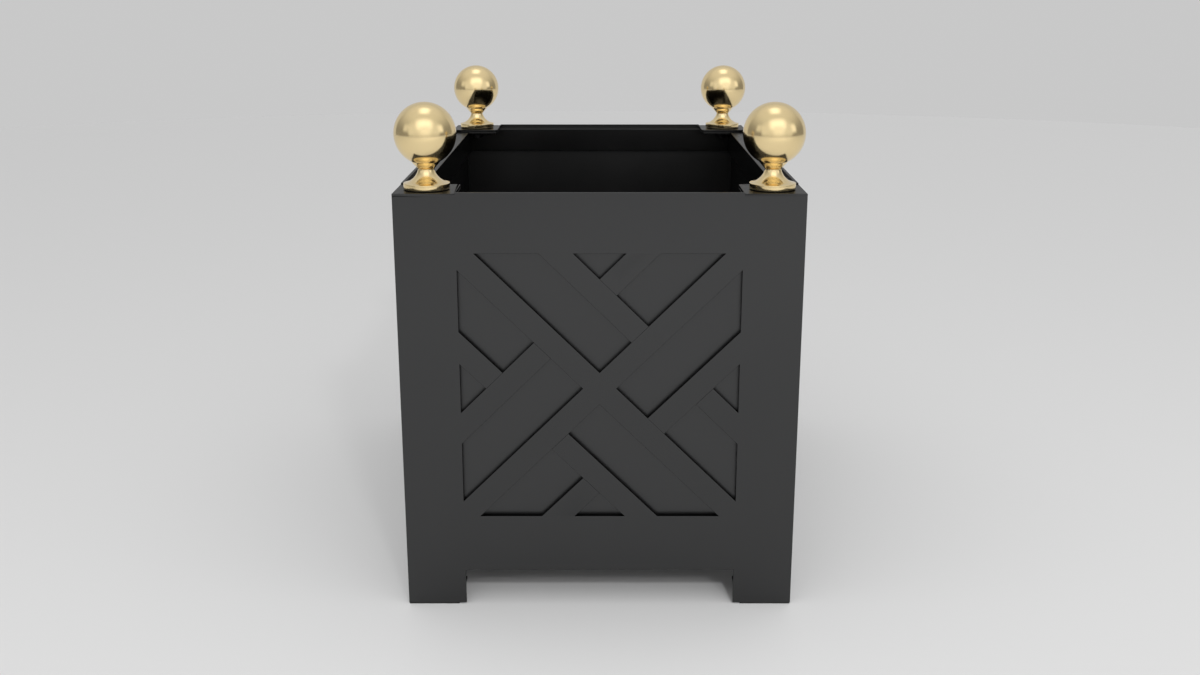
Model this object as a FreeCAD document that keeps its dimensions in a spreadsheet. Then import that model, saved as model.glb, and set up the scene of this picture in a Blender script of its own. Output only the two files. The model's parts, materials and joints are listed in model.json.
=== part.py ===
import FreeCAD, Part
import math
import os

import Sketcher
from FreeCAD import Placement, Rotation, Vector

# Rectangular Versailles planter with four feet, fretwork sides and four ball finials.
#
# Millimetres, +Z up. The origin is on the ground, in the middle of the footprint, and the
# narrow front is towards -Y. Each side is an outer sheet with cut-out windows, filled with
# diagonal slats that are flush with it, on a wall board that stands a strip's thickness
# behind. An angle frame closes the top of the wall, a square plate fills the notched corners
# of the sheets, and a stud through the plate holds a turned pedestal and a ball.

SIZES = {
    "body_width": 609.6,            # 24 in, outside the sheets, along X
    "body_depth": 914.4,            # 36 in, outside the sheets, along Y
    "body_height": 662.8,           # 26 in of sheet, on its foot pads
    "skin_thickness": 4.8,
    "stile_width": 92.1,            # corner stile, leg and centre stile
    "apron_height": 59.1,           # ground to the underside of the apron
    "window_bottom": 151.3,
    "window_top": 571.8,
    "slat_width": 36.0,
    "fret_shift": 0.6945,           # parallel slats, as a share of the bay's half width
    "strip_thickness": 4.7,
    "strip_height": 60.0,
    "low_strip_bottom": 75.0,
    "board_thickness": 12.7,
    "board_bottom": 66.0,
    "rim_inset": 33.0,              # outside face to the inner face of the hanging lip
    "rim_thickness": 4.8,
    "rim_drop": 52.9,               # top edge of the sheets to the bottom of the lip
    "ledge_drop": 6.4,              # top edge of the sheets to the ledge
    "plate_side": 92.1,             # as wide as a stile, with the finial in its middle
    "plate_thickness": 4.8,
    "plate_radius": 6.0,
    "finial_inset": 46.05,          # outside faces to the finial's axis
    "ball_radius": 46.5,
    "ball_height": 82.4,            # top of the plate to the ball's centre
    "base_radius": 34.7,
    "base_rim_top": 9.2,
    "base_edge": 0.5,
    "cove_radius": 26.0,
    "neck_radius": 12.2,
    "neck_height": 29.4,
    "flare_radius": 21.5,
    "gasket_radius": 32.8,
    "gasket_thickness": 1.2,
    "stud_radius": 5.0,
    "stud_clearance": 0.25,
    "stud_reach": 17.0,             # how far the stud goes up into the ball
    "stud_tail": 3.0,               # how far it shows under its nut
    "washer_radius": 10.0,
    "washer_thickness": 2.0,
    "nut_width": 17.0,              # across the flats
    "nut_height": 8.0,
    "corner_leg": 80.0,
    "foot_plate_thickness": 4.8,
    "pad_thickness": 2.4,
    "pad_inset": 0.5,               # outside faces of the sheets to the foot pad
    "ledger_leg": 38.0,
    "ledger_upright": 25.0,
    "ledger_thickness": 3.2,
    "ledger_end_gap": 3.0,
    "bearer_side": 25.4,
    "bearer_wall": 2.5,
    "floor_thickness": 12.7,
    "floor_clearance": 2.0,
    "drain_radius": 9.5,
    "screw_radius": 2.5,
    "screw_head_radius": 4.5,
    "screw_head_height": 2.7,
    "corner_screw_inset": 60.0,     # outside corner to the screws through the corner angles
    "low_screw_height": 121.0,
    "middle_screw_height": 360.0,
    "high_screw_height": 628.0,
    "ledger_screw_length": 14.0,
    "ledger_screw_height": 80.0,
}

# name, sign of x, sign of y, turn about Z; a corner's own x and y point into the planter
CORNERS = (
    ("front_left", -1, -1, 0),
    ("front_right", 1, -1, 90),
    ("back_right", 1, 1, 180),
    ("back_left", -1, 1, 270),
)

# places along a side, as shares of its length from its middle
STRIP_SCREW_SHARES = (-0.225, 0.0, 0.225)
LEDGER_SCREW_SHARES = (-0.28, 0.0, 0.28)
BEARER_SHARES = (-0.42, -0.14, 0.14, 0.42)
DRAIN_SHARES = (-0.27, 0.0, 0.27)
PAST_THE_CORNERS = 1.2      # the cross's bars before they are trimmed, in half windows

UP = Vector(0, 0, 1)
doc = FreeCAD.newDocument("VersaillesPlanter")
sheet = doc.addObject("Spreadsheet::Sheet", "Sizes")
for row, (alias, plain_number) in enumerate(SIZES.items(), start=1):
    sheet.set("A%d" % row, alias)
    sheet.set("B%d" % row, str(plain_number))
    sheet.setAlias("B%d" % row, alias)
doc.recompute()
nodes = []


class Size:
    """A length as the sheet's formula and as its value, so that both are written once."""

    def __init__(self, text, value):
        self.text = text
        self.value = value

    def __add__(self, other):
        other = as_size(other)
        return Size("(%s + %s)" % (self.text, other.text), self.value + other.value)

    def __sub__(self, other):
        other = as_size(other)
        return Size("(%s - %s)" % (self.text, other.text), self.value - other.value)

    def __mul__(self, other):
        other = as_size(other)
        return Size("(%s * %s)" % (self.text, other.text), self.value * other.value)

    def __truediv__(self, other):
        other = as_size(other)
        return Size("(%s / %s)" % (self.text, other.text), self.value / other.value)

    def __rsub__(self, other):
        return as_size(other) - self

    def __neg__(self):
        return self * -1

    __radd__ = __add__
    __rmul__ = __mul__


def as_size(value):
    return value if isinstance(value, Size) else Size(repr(value), value)


def size(alias):
    return Size("Sizes." + alias, SIZES[alias])


def root(value):
    return Size("sqrt(%s)" % value.text, math.sqrt(value.value))


def bind(item, name, value):
    """Binds one property to the sheet."""
    item.setExpression(name, as_size(value).text)


def place(item, corner, turn=0):
    """Turns an object about Z, then binds its position to the sheet."""
    item.Placement = Placement(Vector(0, 0, 0), Rotation(UP, turn))
    for axis, value in zip("xyz", corner):
        bind(item, "Placement.Base." + axis, value)
    return item


def keep(item, label):
    """Names a finished sub-part, which makes it one of the files."""
    item.Label = label
    nodes.append(item)
    return item


def box(name, lengths, corner):
    """A block with its lengths and its lowest corner bound to the sheet."""
    block = doc.addObject("Part::Box", name)
    for side, value in zip(("Length", "Width", "Height"), lengths):
        bind(block, side, value)
    return place(block, corner)


def cylinder(name, radius, height, centre):
    rod = doc.addObject("Part::Cylinder", name)
    bind(rod, "Radius", radius)
    bind(rod, "Height", height)
    return place(rod, centre)


def cross_drill(name, radius, depth, mouth):
    """A cylinder along +Y that starts at mouth, for a hole through a wall."""
    rod = cylinder(name, radius, depth, mouth)
    rod.Placement.Rotation = Rotation(Vector(1, 0, 0), -90)
    return rod


def cut(name, base, tool):
    result = doc.addObject("Part::Cut", name)
    result.Base = base
    result.Tool = tool
    return result


def fuse(name, shapes):
    result = doc.addObject("Part::MultiFuse", name)
    result.Shapes = shapes
    return result


def common(name, shapes):
    result = doc.addObject("Part::MultiCommon", name)
    result.Shapes = shapes
    return result


def group(name, links):
    result = doc.addObject("Part::Compound", name)
    result.Links = links
    return result


def body_sketch(name, role):
    """A new body with an empty sketch on one of its own origin planes."""
    body = doc.addObject("PartDesign::Body", name)
    drawing = body.newObject("Sketcher::SketchObject", name + "_outline")
    plane = [item for item in body.Origin.OriginFeatures if item.Role == role][0]
    drawing.AttachmentSupport = [(plane, "")]
    drawing.MapMode = "FlatFace"
    return body, drawing


def add_sketch(body, name, role):
    drawing = body.newObject("Sketcher::SketchObject", name)
    plane = [item for item in body.Origin.OriginFeatures if item.Role == role][0]
    drawing.AttachmentSupport = [(plane, "")]
    drawing.MapMode = "FlatFace"
    return drawing


def arc_between(start, end, radius, bulge):
    """The smaller arc from start to end; bulge is 1 where it turns left, -1 where right."""
    chord = end - start
    half = chord.Length / 2
    side = Vector(-chord.y, chord.x, 0).normalize()
    centre = (start + end) / 2 + side * bulge * math.sqrt(max(radius ** 2 - half ** 2, 0))
    first, last = (start, end) if bulge > 0 else (end, start)
    angles = [math.atan2(point.y - centre.y, point.x - centre.x) for point in (first, last)]
    return Part.ArcOfCircle(Part.Circle(centre, UP, radius), angles[0], angles[1])


def outline(drawing, corners, arcs=None):
    """Closes an outline through corners; arcs gives (radius, bulge) by the edge's number."""
    arcs = arcs or {}
    points = [Vector(x.value, y.value, 0) for x, y in corners]
    ends = []
    for index, start in enumerate(points):
        end = points[(index + 1) % len(points)]
        if index in arcs:
            radius, bulge = arcs[index]
            edge = drawing.addGeometry(arc_between(start, end, radius.value, bulge), False)
            ends.append((edge, 1, 2) if bulge > 0 else (edge, 2, 1))
        else:
            edge = drawing.addGeometry(Part.LineSegment(start, end), False)
            ends.append((edge, 1, 2))
    for index, (edge, first, last) in enumerate(ends):
        following, its_first, its_last = ends[(index + 1) % len(ends)]
        drawing.addConstraint(Sketcher.Constraint("Coincident", edge, last, following, its_first))
    for index, (edge, first, last) in enumerate(ends):
        for kind, value in zip(("DistanceX", "DistanceY"), corners[index]):
            rule = Sketcher.Constraint(kind, -1, 1, edge, first, value.value)
            which = drawing.addConstraint(rule)
            drawing.setExpression("Constraints[%d]" % which, value.text)
        if index in arcs:
            radius = arcs[index][0]
            which = drawing.addConstraint(Sketcher.Constraint("Radius", edge, radius.value))
            drawing.setExpression("Constraints[%d]" % which, radius.text)


def rectangle(low_x, low_y, high_x, high_y):
    return [(low_x, low_y), (high_x, low_y), (high_x, high_y), (low_x, high_y)]


def pad(body, drawing, length, start=0):
    """Pads a sketch along its normal, from start to start + length."""
    bind(drawing, "AttachmentOffset.Base.z", start)
    feature = body.newObject("PartDesign::Pad", drawing.Name + "_pad")
    feature.Profile = drawing
    bind(feature, "Length", length)
    return feature


def pocket_through(body, drawing, start=0):
    """Cuts a sketch through the body, both ways from start."""
    bind(drawing, "AttachmentOffset.Base.z", start)
    feature = body.newObject("PartDesign::Pocket", drawing.Name + "_pocket")
    feature.Profile = drawing
    feature.Type = "ThroughAll"
    feature.Midplane = True
    return feature


def revolve(body, drawing):
    """Turns a sketch on the XZ plane a full turn about its own upright axis."""
    feature = body.newObject("PartDesign::Revolution", drawing.Name + "_turned")
    feature.Profile = drawing
    feature.ReferenceAxis = (drawing, ["V_Axis"])
    feature.Angle = 360
    return feature


def copy_of(pattern, name, spot, rotation):
    """A link that shows a modelled piece once more, at a place bound to the sheet."""
    link = doc.addObject("App::Link", name)
    link.LinkedObject = pattern
    link.Placement = Placement(Vector(0, 0, 0), rotation)
    for axis, value in zip("xyz", spot):
        bind(link, "Placement.Base." + axis, value)
    return link


WIDTH = size("body_width")
DEPTH = size("body_depth")
TOP = size("body_height")
SKIN = size("skin_thickness")
STILE = size("stile_width")
LEDGE = TOP - size("ledge_drop")
PLATE_TOP = LEDGE + size("plate_thickness")
RIM_UNDER = LEDGE - size("rim_thickness")
BOARD_FACE = SKIN + size("strip_thickness")
BOARD_BACK = BOARD_FACE + size("board_thickness")
WINDOW_HEIGHT = size("window_top") - size("window_bottom")


class Side:
    """One side, drawn as the front is seen and then turned to its place."""

    def __init__(self, name, length, across, bays, turn, end_trim):
        self.name = name
        self.length = length
        self.reach = across / 2
        self.bays = bays
        self.long = bays > 1
        self.turn = turn
        self.end_trim = end_trim
        self.bay_width = (length - STILE * (bays + 1)) / bays

    def bay_left(self, index):
        return -self.length / 2 + STILE + (self.bay_width + STILE) * index

    def named(self, piece):
        return self.name + "_" + piece

    def inward(self, inset):
        """The y of a plane that lies inset behind the outside face."""
        return inset - self.reach

    def turned(self, spot):
        """A spot drawn on this side as the front, moved to where the side really is."""
        x, y, z = spot
        for _ in range(self.turn // 90):
            x, y = -y, x
        return x, y, z

    def finish(self, item, piece):
        item.Placement = Placement(Vector(0, 0, 0), Rotation(UP, self.turn))
        return keep(item, self.named(piece))


SIDES = (
    Side("front", WIDTH, DEPTH, 1, 0, as_size(0)),
    Side("right", DEPTH, WIDTH, 2, 90, SKIN),
    Side("back", WIDTH, DEPTH, 1, 180, as_size(0)),
    Side("left", DEPTH, WIDTH, 2, 270, SKIN),
)


def make_panel(side):
    """The outer sheet: feet and corner notches in its outline, one window for each bay."""
    body, drawing = body_sketch(side.named("panel"), "XZ_Plane")
    end = side.length / 2 - side.end_trim
    leg = side.length / 2 - STILE
    notch = side.length / 2 - size("plate_side")
    low = size("pad_thickness")
    apron = size("apron_height")
    half = [(end, low), (end, LEDGE), (notch, LEDGE), (notch, TOP)]
    mirrored = [(-x, z) for x, z in reversed(half)]
    outline(drawing, half + mirrored + [(-leg, low), (-leg, apron), (leg, apron), (leg, low)])
    pad(body, drawing, SKIN, side.reach - SKIN)
    for index in range(side.bays):
        left = side.bay_left(index)
        window = add_sketch(body, side.named("window_%d" % index), "XZ_Plane")
        sill = size("window_bottom")
        outline(window, rectangle(left, sill, left + side.bay_width, size("window_top")))
        pocket_through(body, window, side.reach)
    side.finish(body, "panel")


def slat_blank(name, side, start, end, overrun):
    """A flat bar along a line of the fret, longer than the line by overrun at its start."""
    across = end[0] - start[0]
    rise = end[1] - start[1]
    length = root(across * across + rise * rise)
    half_slat = size("slat_width") / 2
    bar = doc.addObject("Part::Box", name)
    bind(bar, "Length", length + overrun)
    bind(bar, "Width", SKIN)
    bind(bar, "Height", half_slat * 2)
    slope = math.degrees(math.atan2(rise.value, across.value))
    bar.Placement = Placement(Vector(0, 0, 0), Rotation(Vector(0, -1, 0), slope))
    bind(bar, "Placement.Base.x", start[0] - (overrun * across - half_slat * rise) / length)
    bind(bar, "Placement.Base.y", side.inward(0))
    bind(bar, "Placement.Base.z", start[1] - (overrun * rise + half_slat * across) / length)
    return bar


def quarter_turned(point, turns):
    """A point of the bay's own square, turned clockwise by quarter turns."""
    across, rise = point
    for _ in range(turns):
        across, rise = rise, -across
    return across, rise


def make_fret(side):
    """Fills each bay: a one-piece cross, four long slats and four short slats."""
    crosses = []
    long_slats = []
    short_slats = []
    shift = size("fret_shift")
    one = as_size(1)
    past = one * PAST_THE_CORNERS
    half_width = side.bay_width / 2
    half_height = WINDOW_HEIGHT / 2
    middle = size("window_bottom") + half_height
    overrun = size("slat_width")
    for index in range(side.bays):
        left = side.bay_left(index)
        name = side.named("bay_%d" % index)

        def in_bay(point):
            return left + half_width + point[0] * half_width, middle + point[1] * half_height

        def blank(kind, start, end):
            return slat_blank(name + kind, side, in_bay(start), in_bay(end), overrun)

        window = box(
            name + "_window",
            (side.bay_width, SKIN, WINDOW_HEIGHT),
            (left, side.inward(0), size("window_bottom")),
        )
        rising = blank("_rising", (-past, -past), (past, past))
        falling = blank("_falling", (-past, past), (past, -past))
        cross = common(name + "_cross", [fuse(name + "_bars", [rising, falling]), window])
        crosses.append(cross)
        for turns in range(4):
            long_start = quarter_turned((shift - 1, one), turns)
            long_end = quarter_turned((shift / 2, shift / 2), turns)
            short_start = quarter_turned((1 - shift, one), turns)
            short_end = quarter_turned((as_size(0), shift), turns)
            tag = "_%d" % turns
            long_blank = blank("_long_blank" + tag, long_start, long_end)
            long_bar = common(name + "_long_trimmed" + tag, [long_blank, window])
            short_blank = blank("_short_blank" + tag, short_start, short_end)
            short_bar = common(name + "_short_trimmed" + tag, [short_blank, window])
            long_slats.append(cut(name + "_long" + tag, long_bar, cross))
            short_slats.append(cut(name + "_short" + tag, short_bar, long_blank))
    side.finish(group(side.named("crosses"), crosses), "cross")
    side.finish(group(side.named("longs"), long_slats), "long_slats")
    side.finish(group(side.named("shorts"), short_slats), "short_slats")


def screw_places(side):
    """Where the wall screws of a side stand, as (x, z): corners, then strips."""
    corner = side.length / 2 - size("corner_screw_inset")
    low = size("low_screw_height")
    middle = size("middle_screw_height")
    high = size("high_screw_height")
    places = [(sign * corner, z) for sign in (-1, 1) for z in (low, middle, high)]
    places += [(side.length * share, z) for share in STRIP_SCREW_SHARES for z in (low, high)]
    if side.long:
        places.append((as_size(0), middle))
    return places


def drill_places(side, name, places, depth, mouth_inset):
    """Screw holes of one depth at all the places, each starting at mouth_inset."""
    drills = []
    for number, (x, z) in enumerate(places):
        mouth = (x, side.inward(mouth_inset), z)
        drills.append(cross_drill(
            side.named("%s_%d" % (name, number)), size("screw_radius"), depth, mouth))
    return group(side.named(name + "s"), drills)


def ledger_screw_tip():
    return BOARD_BACK + size("ledger_thickness") - size("ledger_screw_length")


def make_strips(side, drills):
    """Spacer strips between the sheet and the board, between the legs of the corner angles."""
    thickness = size("strip_thickness")
    height = size("strip_height")
    inset = SKIN + size("corner_leg")
    length = side.length - inset * 2
    top_strip_bottom = RIM_UNDER - height
    low_strip_top = size("low_strip_bottom") + height
    front = side.inward(SKIN)
    strips = [
        box(side.named("low_strip"), (length, thickness, height),
            (-length / 2, front, size("low_strip_bottom"))),
        box(side.named("top_strip"), (length, thickness, height),
            (-length / 2, front, top_strip_bottom)),
    ]
    if side.long:
        strips.append(box(
            side.named("centre_strip"),
            (height, thickness, top_strip_bottom - low_strip_top),
            (-height / 2, front, low_strip_top),
        ))
    strip_group = group(side.named("strip_blanks"), strips)
    side.finish(cut(side.named("strips"), strip_group, drills), "spacer_strips")


def make_board(side, drills):
    """The wall board, which is the backing behind the windows and the planter's inner face."""
    end = BOARD_BACK if side.long else BOARD_FACE
    length = side.length - end * 2
    blank = box(
        side.named("board_blank"),
        (length, size("board_thickness"), RIM_UNDER - size("board_bottom")),
        (-length / 2, side.inward(BOARD_FACE), size("board_bottom")),
    )
    side.finish(cut(side.named("board"), blank, drills), "wall_board")


def make_rim_angle(side):
    """The ledge and its hanging lip; the long sides' pieces butt between the short sides'."""
    inset = size("rim_inset")
    thickness = size("rim_thickness")
    lip_height = size("rim_drop") - size("ledge_drop") - thickness
    if side.long:
        ledge_half = side.length / 2 - inset
        lip_half = ledge_half
    else:
        ledge_half = side.length / 2 - SKIN
        lip_half = side.length / 2 - inset + thickness
    ledge = box(
        side.named("ledge"),
        (ledge_half * 2, inset - SKIN, thickness),
        (-ledge_half, side.inward(SKIN), RIM_UNDER),
    )
    lip = box(
        side.named("lip"),
        (lip_half * 2, thickness, lip_height),
        (-lip_half, side.inward(inset - thickness), TOP - size("rim_drop")),
    )
    side.finish(fuse(side.named("rim"), [ledge, lip]), "rim_angle")


def make_ledger(side, drills):
    """The angle that carries the floor bearers, screwed to the inner face of a long wall."""
    thickness = size("ledger_thickness")
    length = side.length - (BOARD_BACK + size("ledger_end_gap")) * 2
    low = size("board_bottom")
    shelf = box(side.named("shelf"), (length, size("ledger_leg"), thickness),
                (-length / 2, side.inward(BOARD_BACK), low))
    upright = box(side.named("upright"), (length, thickness, size("ledger_upright")),
                  (-length / 2, side.inward(BOARD_BACK), low))
    blank = fuse(side.named("ledger_blank"), [shelf, upright])
    side.finish(cut(side.named("ledger"), blank, drills), "floor_ledger")


def corner_spot(sign_x, sign_y, height):
    return WIDTH / 2 * sign_x, DEPTH / 2 * sign_y, height


def make_corner_angle(name, sign_x, sign_y, turn):
    """The angle inside the corner of the sheets, from the foot plate up to the rim."""
    leg = size("corner_leg")
    thickness = size("strip_thickness")
    low = size("pad_thickness") + size("foot_plate_thickness")
    body, drawing = body_sketch(name + "_angle", "XY_Plane")
    far = SKIN + leg
    near = SKIN + thickness
    outline(drawing, [(SKIN, SKIN), (far, SKIN), (far, near), (near, near), (near, far), (SKIN, far)])
    pad(body, drawing, RIM_UNDER - low, low)
    drills = []
    for number, alias in enumerate(("low", "middle", "high")):
        height = size(alias + "_screw_height")
        spot = (size("corner_screw_inset"), SKIN, height)
        drill = cross_drill(name + "_hole_y%d" % number, size("screw_radius"), thickness, spot)
        drills.append(drill)
        spot = (SKIN, size("corner_screw_inset"), height)
        drill = cylinder(name + "_hole_x%d" % number, size("screw_radius"), thickness, spot)
        drill.Placement.Rotation = Rotation(Vector(0, 1, 0), 90)
        drills.append(drill)
    drilled = cut(name + "_drilled", body, group(name + "_holes", drills))
    keep(place(drilled, corner_spot(sign_x, sign_y, 0), turn), name + "_corner_angle")


def make_square(name, label, sign_x, sign_y, turn, low, low_z, thickness):
    """A square plate with a rounded inner corner and the hole for the finial's stud."""
    high = size("plate_side")
    radius = size("plate_radius")
    body, drawing = body_sketch(name, "XY_Plane")
    corners = [(low, low), (high, low), (high, high - radius), (high - radius, high), (low, high)]
    outline(drawing, corners, {2: (radius, 1)})
    pad(body, drawing, thickness, low_z)
    spot = (size("finial_inset"), size("finial_inset"), low_z)
    hole_radius = size("stud_radius") + size("stud_clearance")
    hole = cylinder(name + "_hole", hole_radius, thickness, spot)
    drilled = cut(name + "_drilled", body, hole)
    keep(place(drilled, corner_spot(sign_x, sign_y, 0), turn), label)


def finial_spot(sign_x, sign_y, height):
    inset = size("finial_inset")
    return (WIDTH / 2 - inset) * sign_x, (DEPTH / 2 - inset) * sign_y, height


def make_pedestal(name, sign_x, sign_y):
    """The turned base: a thin disc, a cove up to the neck, and a cone that cups the ball."""
    body, drawing = body_sketch(name + "_pedestal", "XZ_Plane")
    bore = size("stud_radius") + size("stud_clearance")
    edge = size("base_edge")
    outer = size("base_radius")
    rim = size("base_rim_top")
    ball = size("ball_radius")
    flare = size("flare_radius")
    cup_rim = size("ball_height") - root(ball * ball - flare * flare)
    cup_floor = size("ball_height") - root(ball * ball - bore * bore)
    corners = [
        (bore, size("gasket_thickness")),
        (outer - edge, size("gasket_thickness")),
        (outer, size("gasket_thickness") + edge),
        (outer, rim),
        (outer - edge, rim + edge),
        (size("neck_radius"), size("neck_height")),
        (size("neck_radius"), size("neck_height") + edge),
        (flare, cup_rim),
        (bore, cup_floor),
    ]
    outline(drawing, corners, {4: (size("cove_radius"), -1), 7: (ball, -1)})
    revolve(body, drawing)
    keep(place(body, finial_spot(sign_x, sign_y, PLATE_TOP)), name + "_finial_pedestal")


def make_ball(name, sign_x, sign_y):
    ball = doc.addObject("Part::Sphere", name + "_sphere")
    bind(ball, "Radius", size("ball_radius"))
    place(ball, (0, 0, size("ball_height")))
    socket_top = size("ball_height") - size("ball_radius") + size("stud_reach")
    socket = cylinder(name + "_socket", size("stud_radius"), socket_top, (0, 0, 0))
    bored = cut(name + "_bored", ball, socket)
    keep(place(bored, finial_spot(sign_x, sign_y, PLATE_TOP)), name + "_finial_ball")


def ring(name, outer, inner, height):
    disc = cylinder(name + "_disc", outer, height, (0, 0, 0))
    hole = cylinder(name + "_bore", inner, height, (0, 0, 0))
    return cut(name + "_pattern", disc, hole)


def make_finial_hardware():
    """Gaskets, studs, washers and nuts: one of each is modelled and linked to every corner."""
    bore = size("stud_radius") + size("stud_clearance")
    washer_bottom = RIM_UNDER - size("washer_thickness")
    nut_bottom = washer_bottom - size("nut_height")
    stud_bottom = nut_bottom - size("stud_tail")
    socket_top = PLATE_TOP + size("ball_height") - size("ball_radius") + size("stud_reach")
    gasket = ring("gasket", size("gasket_radius"), bore, size("gasket_thickness"))
    washer = ring("washer", size("washer_radius"), bore, size("washer_thickness"))
    stud = cylinder("stud_pattern", size("stud_radius"), socket_top - stud_bottom, (0, 0, 0))
    hexagon = doc.addObject("Part::Prism", "nut_hexagon")
    hexagon.Polygon = 6
    bind(hexagon, "Circumradius", size("nut_width") / root(as_size(3)))
    bind(hexagon, "Height", size("nut_height"))
    thread = cylinder("nut_thread", size("stud_radius"), size("nut_height"), (0, 0, 0))
    nut = cut("nut_pattern", hexagon, thread)
    hardware = {
        "finial_gaskets": (gasket, PLATE_TOP),
        "finial_studs": (stud, stud_bottom),
        "finial_washers": (washer, washer_bottom),
        "finial_nuts": (nut, nut_bottom),
    }
    for label, (pattern, bottom) in hardware.items():
        links = []
        for name, sign_x, sign_y, _ in CORNERS:
            spot = finial_spot(sign_x, sign_y, bottom)
            links.append(copy_of(pattern, label + "_" + name, spot, Rotation()))
        keep(group(label + "_group", links), label)


def make_foot_squares(label, inset, side, bottom, thickness):
    """A square under each leg: inset from the outside faces, this long and at this height."""
    middle = inset + side / 2
    squares = []
    for name, sign_x, sign_y, _ in CORNERS:
        square = box(name + "_" + label, (side, side, thickness), (0, 0, 0))
        middle_x = (WIDTH / 2 - middle) * sign_x
        middle_y = (DEPTH / 2 - middle) * sign_y
        squares.append(place(square, (middle_x - side / 2, middle_y - side / 2, bottom)))
    keep(group(label + "_group", squares), label)


def make_feet():
    """The foot plates that the corner angles stand on, and the rubber pads under them."""
    pad_height = size("pad_thickness")
    pad_inset = size("pad_inset")
    thickness = size("foot_plate_thickness")
    make_foot_squares("foot_plates", SKIN, size("corner_leg"), pad_height, thickness)
    make_foot_squares("foot_pads", pad_inset, STILE - pad_inset * 2, as_size(0), pad_height)


def make_floor():
    """Square tubes across the ledgers, and the floor board with its drain holes on them."""
    ledger = size("ledger_thickness")
    side = size("bearer_side")
    wall = size("bearer_wall")
    clearance = size("floor_clearance")
    low = size("board_bottom") + ledger
    half_length = WIDTH / 2 - BOARD_BACK - ledger - clearance / 2
    tube = box("bearer_outside", (half_length * 2, side, side), (-half_length, -side / 2, low))
    hollow = box(
        "bearer_inside",
        (half_length * 2, side - wall * 2, side - wall * 2),
        (-half_length, wall - side / 2, low + wall),
    )
    bearer = cut("bearer_pattern", tube, hollow)
    bearers = []
    for number, share in enumerate(BEARER_SHARES):
        spot = (0, DEPTH * share, 0)
        bearers.append(copy_of(bearer, "bearer_%d" % number, spot, Rotation()))
    keep(group("bearer_group", bearers), "floor_bearers")

    half_x = WIDTH / 2 - BOARD_BACK - clearance
    half_y = DEPTH / 2 - BOARD_BACK - clearance
    low = low + side
    lengths = (half_x * 2, half_y * 2, size("floor_thickness"))
    blank = box("floor_blank", lengths, (-half_x, -half_y, low))
    drains = []
    for share_x in DRAIN_SHARES:
        for share_y in DRAIN_SHARES:
            name = "drain_%d" % len(drains)
            spot = (WIDTH * share_x, DEPTH * share_y, low)
            drains.append(cylinder(name, size("drain_radius"), size("floor_thickness"), spot))
    keep(cut("floor_drained", blank, group("drains", drains)), "floor_board")


def screw_pattern(name, length):
    """A pan-head screw along Z: its tip at the origin and its head at the top."""
    body, drawing = body_sketch(name, "XZ_Plane")
    shank = size("screw_radius")
    head = size("screw_head_radius")
    head_top = length + size("screw_head_height")
    corners = [
        (as_size(0), as_size(0)), (shank, as_size(0)), (shank, length),
        (head, length), (head, head_top - 1), (head - 1, head_top), (as_size(0), head_top),
    ]
    outline(drawing, corners, {4: (as_size(1.0), 1)})
    revolve(body, drawing)
    return body


def ledger_screw_places(side):
    """Where the screws of a floor ledger stand, as (x, z); only the long sides have one."""
    if not side.long:
        return []
    return [(side.length * share, size("ledger_screw_height")) for share in LEDGER_SCREW_SHARES]


def drive(label, pattern, places_on, tip_inset):
    """Copies one screw to all its places, each with its tip at tip_inset behind the outside."""
    links = []
    for side in SIDES:
        point_in = Rotation(UP, side.turn).multiply(Rotation(Vector(1, 0, 0), -90))
        for number, (x, z) in enumerate(places_on(side)):
            spot = side.turned((x, side.inward(tip_inset), z))
            links.append(copy_of(pattern, "%s_%s_%d" % (label, side.name, number), spot, point_in))
    keep(group(label + "_group", links), label)


def make_screws():
    """Wall screws from inside into the strips and angles, and the ledgers' own screws."""
    wall_screw = screw_pattern("wall_screw_pattern", BOARD_BACK - SKIN)
    ledger_screw = screw_pattern("ledger_screw_pattern", size("ledger_screw_length"))
    drive("wall_screws", wall_screw, screw_places, SKIN)
    drive("ledger_screws", ledger_screw, ledger_screw_places, ledger_screw_tip())


def make_sides():
    for side in SIDES:
        make_panel(side)
        make_fret(side)
        drills = drill_places(side, "drill", screw_places(side), BOARD_BACK - SKIN, SKIN)
        make_strips(side, drills)
        if side.long:
            depth = size("ledger_screw_length")
            places = ledger_screw_places(side)
            ledger_drills = drill_places(side, "ledger_drill", places, depth, ledger_screw_tip())
            make_board(side, group(side.named("all_drills"), [drills, ledger_drills]))
            make_ledger(side, ledger_drills)
        else:
            make_board(side, drills)
        make_rim_angle(side)


def make_corners():
    for name, sign_x, sign_y, turn in CORNERS:
        make_corner_angle(name, sign_x, sign_y, turn)
        make_square(name + "_plate", name + "_corner_plate", sign_x, sign_y, turn,
                    as_size(0), LEDGE, size("plate_thickness"))
        make_square(name + "_gusset", name + "_rim_gusset", sign_x, sign_y, turn,
                    size("rim_inset"), RIM_UNDER, size("rim_thickness"))
        make_pedestal(name, sign_x, sign_y)
        make_ball(name, sign_x, sign_y)


def check_and_write():
    """Stops on a failed object or a bad shape, and writes one file for each node."""
    doc.recompute()
    for item in doc.Objects:
        if "Invalid" in item.State or "Error" in item.State:
            raise RuntimeError("failed object: " + item.Label)
    for item in nodes:
        if item.Shape.isNull() or not item.Shape.isValid() or not item.Shape.Solids:
            raise RuntimeError("bad shape: " + item.Label)
    os.makedirs("parts", exist_ok=True)
    for item in nodes:
        item.Shape.exportStep("parts/%s.step" % item.Label)
    litres = sum(item.Shape.Volume for item in nodes) / 1e6
    print("OK", len(nodes), "nodes", round(litres, 3), "litres of material")


make_sides()
make_corners()
make_finial_hardware()
make_feet()
make_floor()
make_screws()
check_and_write()
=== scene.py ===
import json
import math

import bmesh
import bpy
from mathutils import Matrix, Vector
from mathutils.bvhtree import BVHTree


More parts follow.
